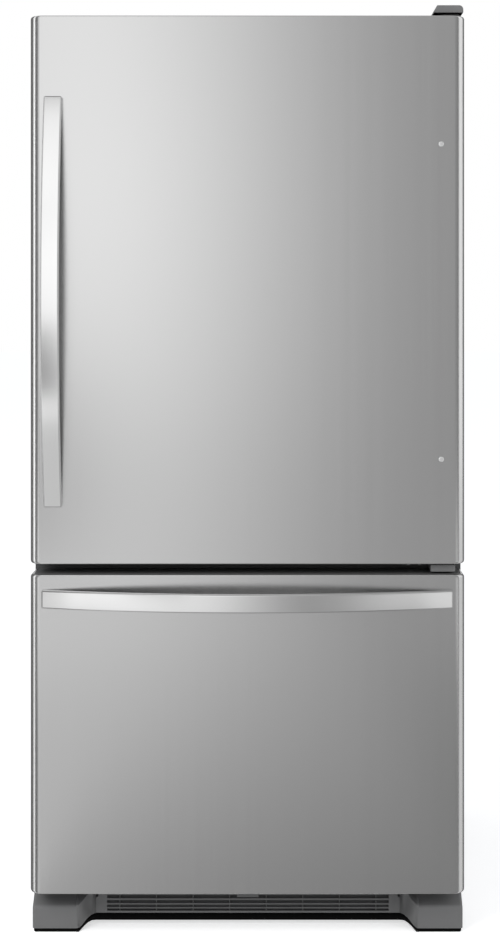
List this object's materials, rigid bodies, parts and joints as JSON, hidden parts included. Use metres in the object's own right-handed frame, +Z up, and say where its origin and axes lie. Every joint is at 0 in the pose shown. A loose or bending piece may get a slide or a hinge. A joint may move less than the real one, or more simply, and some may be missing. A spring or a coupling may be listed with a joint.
{
  "type": "bottom freezer refrigerator",
  "caption": "Tall refrigerator with a right-hinged stainless door over a pull-out freezer drawer, bowed bar handles and a slotted grey base.",
  "frame": {"origin": "on the floor, under the middle of the whole object with its handles", "axes": "+Z up, the fronts face -Y, +X to the right as seen from in front, on the hinge side"},
  "size_m": [0.829, 0.867, 1.775],
  "materials": {
    "stainless": "vertical brushed stainless",
    "handle_metal": "satin, long edges polished",
    "cabinet_paint": "fine textured grey enamel",
    "zinc_steel": "zinc plated sheet",
    "black_steel": "black enamel",
    "grey_plastic": "moulded satin grey",
    "cap_plastic": "moulded satin grey",
    "black_plastic": "moulded black",
    "white_liner": "thermoformed gloss white",
    "white_plastic": "moulded white",
    "clear_plastic": "clear moulding",
    "frosted_plastic": "frosted lens",
    "shelf_glass": "toughened glass",
    "seal": "soft grey seal",
    "foam": "closed cell foam",
    "compressor_black": "gloss black enamel",
    "coil_metal": "bare fins and tube",
    "plug_metal": "bright"
  },
  "bodies": {
    "cabinet": {"cabinet_wrapper": "cabinet_paint", "cabinet_back": "zinc_steel", "bottom_plate": "zinc_steel", "cabinet_foam": "foam", "fridge_liner": "white_liner", "freezer_liner": "white_liner", "center_mullion": "black_steel", "base_grille": "grey_plastic", "toe_pads": "black_plastic", "base_frame": "black_steel", "compressor": "compressor_black", "condenser_coil": "coil_metal", "condenser_fan_shroud": "black_plastic", "drain_pan": "black_plastic", "machine_cover": "zinc_steel", "cord_gland": "seal", "top_hinge": "black_steel", "top_hinge_cover": "grey_plastic", "center_hinge": "grey_plastic", "hinge_screws": "zinc_steel", "shelf_frames": "white_plastic", "shelf_glass": "shelf_glass", "air_duct": "white_plastic", "control_housing": "white_plastic", "light_lens": "frosted_plastic", "slide_tracks": "zinc_steel", "evaporator_coil": "coil_metal", "evaporator_cover": "white_plastic"},
    "door": {"door_panel": "stainless", "door_caps": "cap_plastic", "door_foam": "foam", "door_inner": "white_liner", "door_gasket": "seal", "door_handle": "handle_metal", "door_plugs": "plug_metal", "door_bins": "clear_plastic", "dairy_box": "white_plastic"},
    "freezer_drawer": {"freezer_panel": "stainless", "freezer_caps": "cap_plastic", "freezer_foam": "foam", "freezer_inner": "white_liner", "freezer_gasket": "seal", "freezer_handle": "handle_metal", "drawer_frame": "zinc_steel", "freezer_bin": "white_plastic"},
    "dairy_lid": {"dairy_lid": "clear_plastic"},
    "slide_middles": {"slide_middles": "zinc_steel"},
    "freezer_basket": {"freezer_basket": "white_plastic"},
    "crisper_left": {"crisper_left": "clear_plastic"},
    "crisper_right": {"crisper_right": "clear_plastic"},
    "humidity_slider_left": {"humidity_slider_left": "white_plastic"},
    "humidity_slider_right": {"humidity_slider_right": "white_plastic"},
    "light_switch": {"light_switch": "white_plastic"},
    "leveling_leg_left": {"leveling_leg_left": "zinc_steel"},
    "leveling_leg_right": {"leveling_leg_right": "zinc_steel"},
    "rear_rollers": {"rear_rollers": "white_plastic"},
    "condenser_fan": {"condenser_fan": "black_plastic"},
    "evaporator_fan": {"evaporator_fan": "white_plastic"},
    "fridge_knob": {"fridge_knob": "white_plastic"},
    "freezer_knob": {"freezer_knob": "white_plastic"}
  },
  "joints": [
    {"name": "door_swing", "type": "hinge", "parent": "cabinet", "child": "door", "pos_m": [0.387, -0.3285, 1.2], "axis": [0, 0, 1], "range_deg": [0, 130]},
    {"name": "dairy_lid_hinge", "type": "hinge", "parent": "door", "child": "dairy_lid", "pos_m": [0, -0.2135, 1.6582], "axis": [1, 0, 0], "range_deg": [0, 80]},
    {"name": "freezer_drawer_slide", "type": "slide", "parent": "cabinet", "child": "freezer_drawer", "axis": [0, -1, 0], "range_m": [0, 0.42]},
    {"name": "slide_middles_slide", "type": "slide", "parent": "cabinet", "child": "slide_middles", "axis": [0, -1, 0], "range_m": [0, 0.21]},
    {"name": "freezer_basket_slide", "type": "slide", "parent": "cabinet", "child": "freezer_basket", "axis": [0, -1, 0], "range_m": [0, 0.357]},
    {"name": "crisper_left_slide", "type": "slide", "parent": "cabinet", "child": "crisper_left", "axis": [0, -1, 0], "range_m": [0, 0.21]},
    {"name": "crisper_right_slide", "type": "slide", "parent": "cabinet", "child": "crisper_right", "axis": [0, -1, 0], "range_m": [0, 0.21]},
    {"name": "humidity_slider_left_slide", "type": "slide", "parent": "crisper_left", "child": "humidity_slider_left", "axis": [1, 0, 0], "range_m": [0, 0.034]},
    {"name": "humidity_slider_right_slide", "type": "slide", "parent": "crisper_right", "child": "humidity_slider_right", "axis": [1, 0, 0], "range_m": [0, 0.034]},
    {"name": "light_switch_plunge", "type": "slide", "parent": "cabinet", "child": "light_switch", "axis": [0, -1, 0], "range_m": [0, 0.005]},
    {"name": "leveling_leg_left_screw", "type": "hinge", "parent": "cabinet", "child": "leveling_leg_left", "pos_m": [-0.365, -0.2685, 0.03], "axis": [0, 0, 1], "continuous": true},
    {"name": "leveling_leg_right_screw", "type": "hinge", "parent": "cabinet", "child": "leveling_leg_right", "pos_m": [0.365, -0.2685, 0.03], "axis": [0, 0, 1], "continuous": true},
    {"name": "rear_rollers_spin", "type": "hinge", "parent": "cabinet", "child": "rear_rollers", "pos_m": [0, 0.3875, 0.022], "axis": [1, 0, 0], "continuous": true},
    {"name": "condenser_fan_spin", "type": "hinge", "parent": "cabinet", "child": "condenser_fan", "pos_m": [-0.075, 0.312, 0.15], "axis": [1, 0, 0], "continuous": true},
    {"name": "evaporator_fan_spin", "type": "hinge", "parent": "cabinet", "child": "evaporator_fan", "pos_m": [0, 0.3085, 0.585], "axis": [0, 1, 0], "continuous": true},
    {"name": "fridge_knob_turn", "type": "hinge", "parent": "cabinet", "child": "fridge_knob", "pos_m": [0.085, -0.0875, 1.673], "axis": [0, 1, 0], "range_deg": [-130, 130]},
    {"name": "freezer_knob_turn", "type": "hinge", "parent": "cabinet", "child": "freezer_knob", "pos_m": [-0.085, -0.0875, 1.673], "axis": [0, 1, 0], "range_deg": [-130, 130]}
  ],
  "couplings": [
    {"joint": "slide_middles_slide", "follows": "freezer_drawer_slide", "ratio": 0.5},
    {"joint": "freezer_basket_slide", "follows": "freezer_drawer_slide", "ratio": 0.85},
    {"joint": "crisper_left_slide", "follows": "door_swing", "m_per_rad": 0.0925},
    {"joint": "crisper_right_slide", "follows": "door_swing", "m_per_rad": 0.0925},
    {"joint": "light_switch_plunge", "follows": "door_swing", "m_per_rad": 0.0022}
  ]
}
